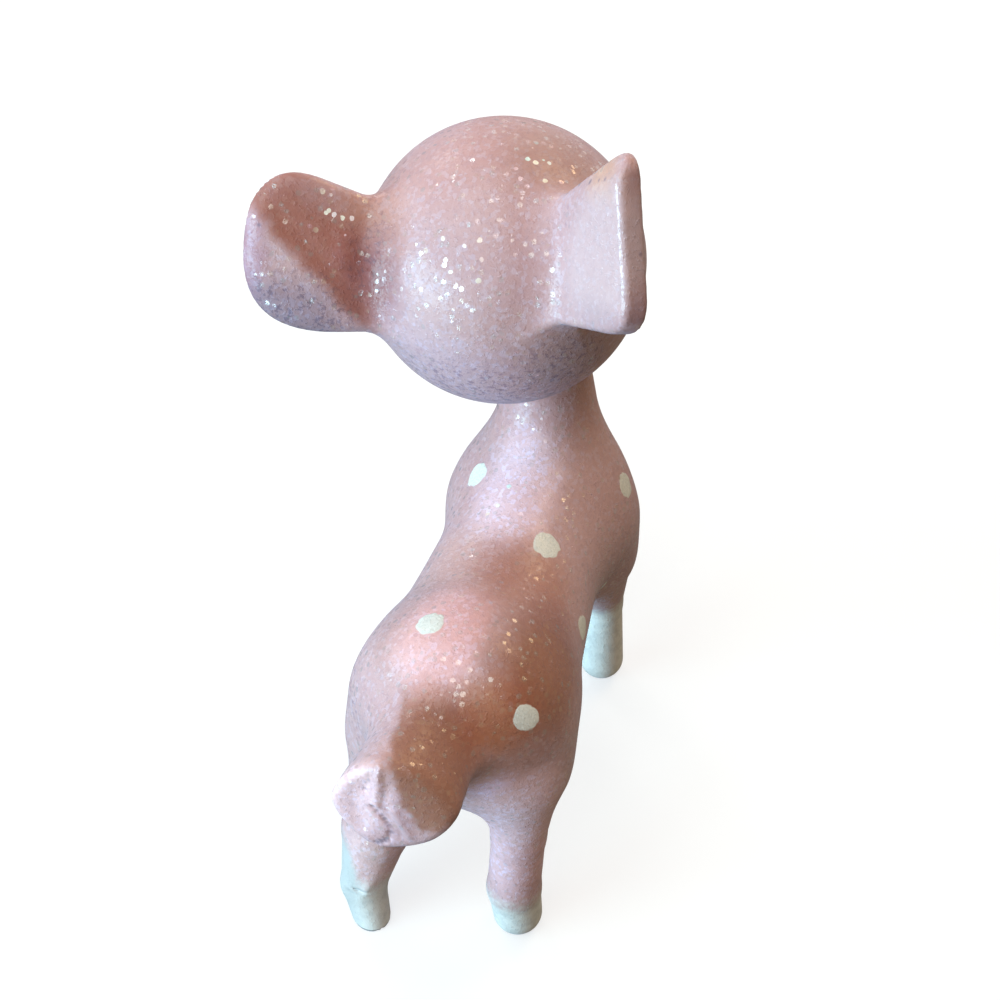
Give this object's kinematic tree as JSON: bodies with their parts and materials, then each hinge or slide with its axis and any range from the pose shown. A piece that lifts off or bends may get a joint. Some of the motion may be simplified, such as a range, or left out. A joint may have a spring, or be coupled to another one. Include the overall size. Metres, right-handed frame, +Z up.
{
  "type": "reindeer figurine",
  "caption": "Standing young reindeer ornament with a big round head turned up on a slim neck, wide folded ears, a stub tail and straight legs, glued from painted resin castings.",
  "frame": {"origin": "on the ground under the middle of the figurine's bounding box", "axes": "+Z up, the animal faces -Y, its left side is +X"},
  "size_m": [0.0688, 0.121, 0.1317],
  "materials": {
    "pink_paint": "glossy varnish over dusty pink paint with fine glitter, white painted dots and hooves",
    "eye_black": "high gloss",
    "steel": "bare wire"
  },
  "bodies": {
    "root": {"trunk": "pink_paint", "head": "pink_paint", "tail": "pink_paint", "left_ear": "pink_paint", "right_ear": "pink_paint", "front_left_leg": "pink_paint", "front_right_leg": "pink_paint", "hind_left_leg": "pink_paint", "hind_right_leg": "pink_paint", "neck_dowel": "steel", "tail_dowel": "steel", "left_ear_dowel": "steel", "right_ear_dowel": "steel", "front_left_wire": "steel", "front_right_wire": "steel", "hind_left_wire": "steel", "hind_right_wire": "steel", "left_eye": "eye_black", "right_eye": "eye_black", "nose": "eye_black"}
  },
  "joints": []
}
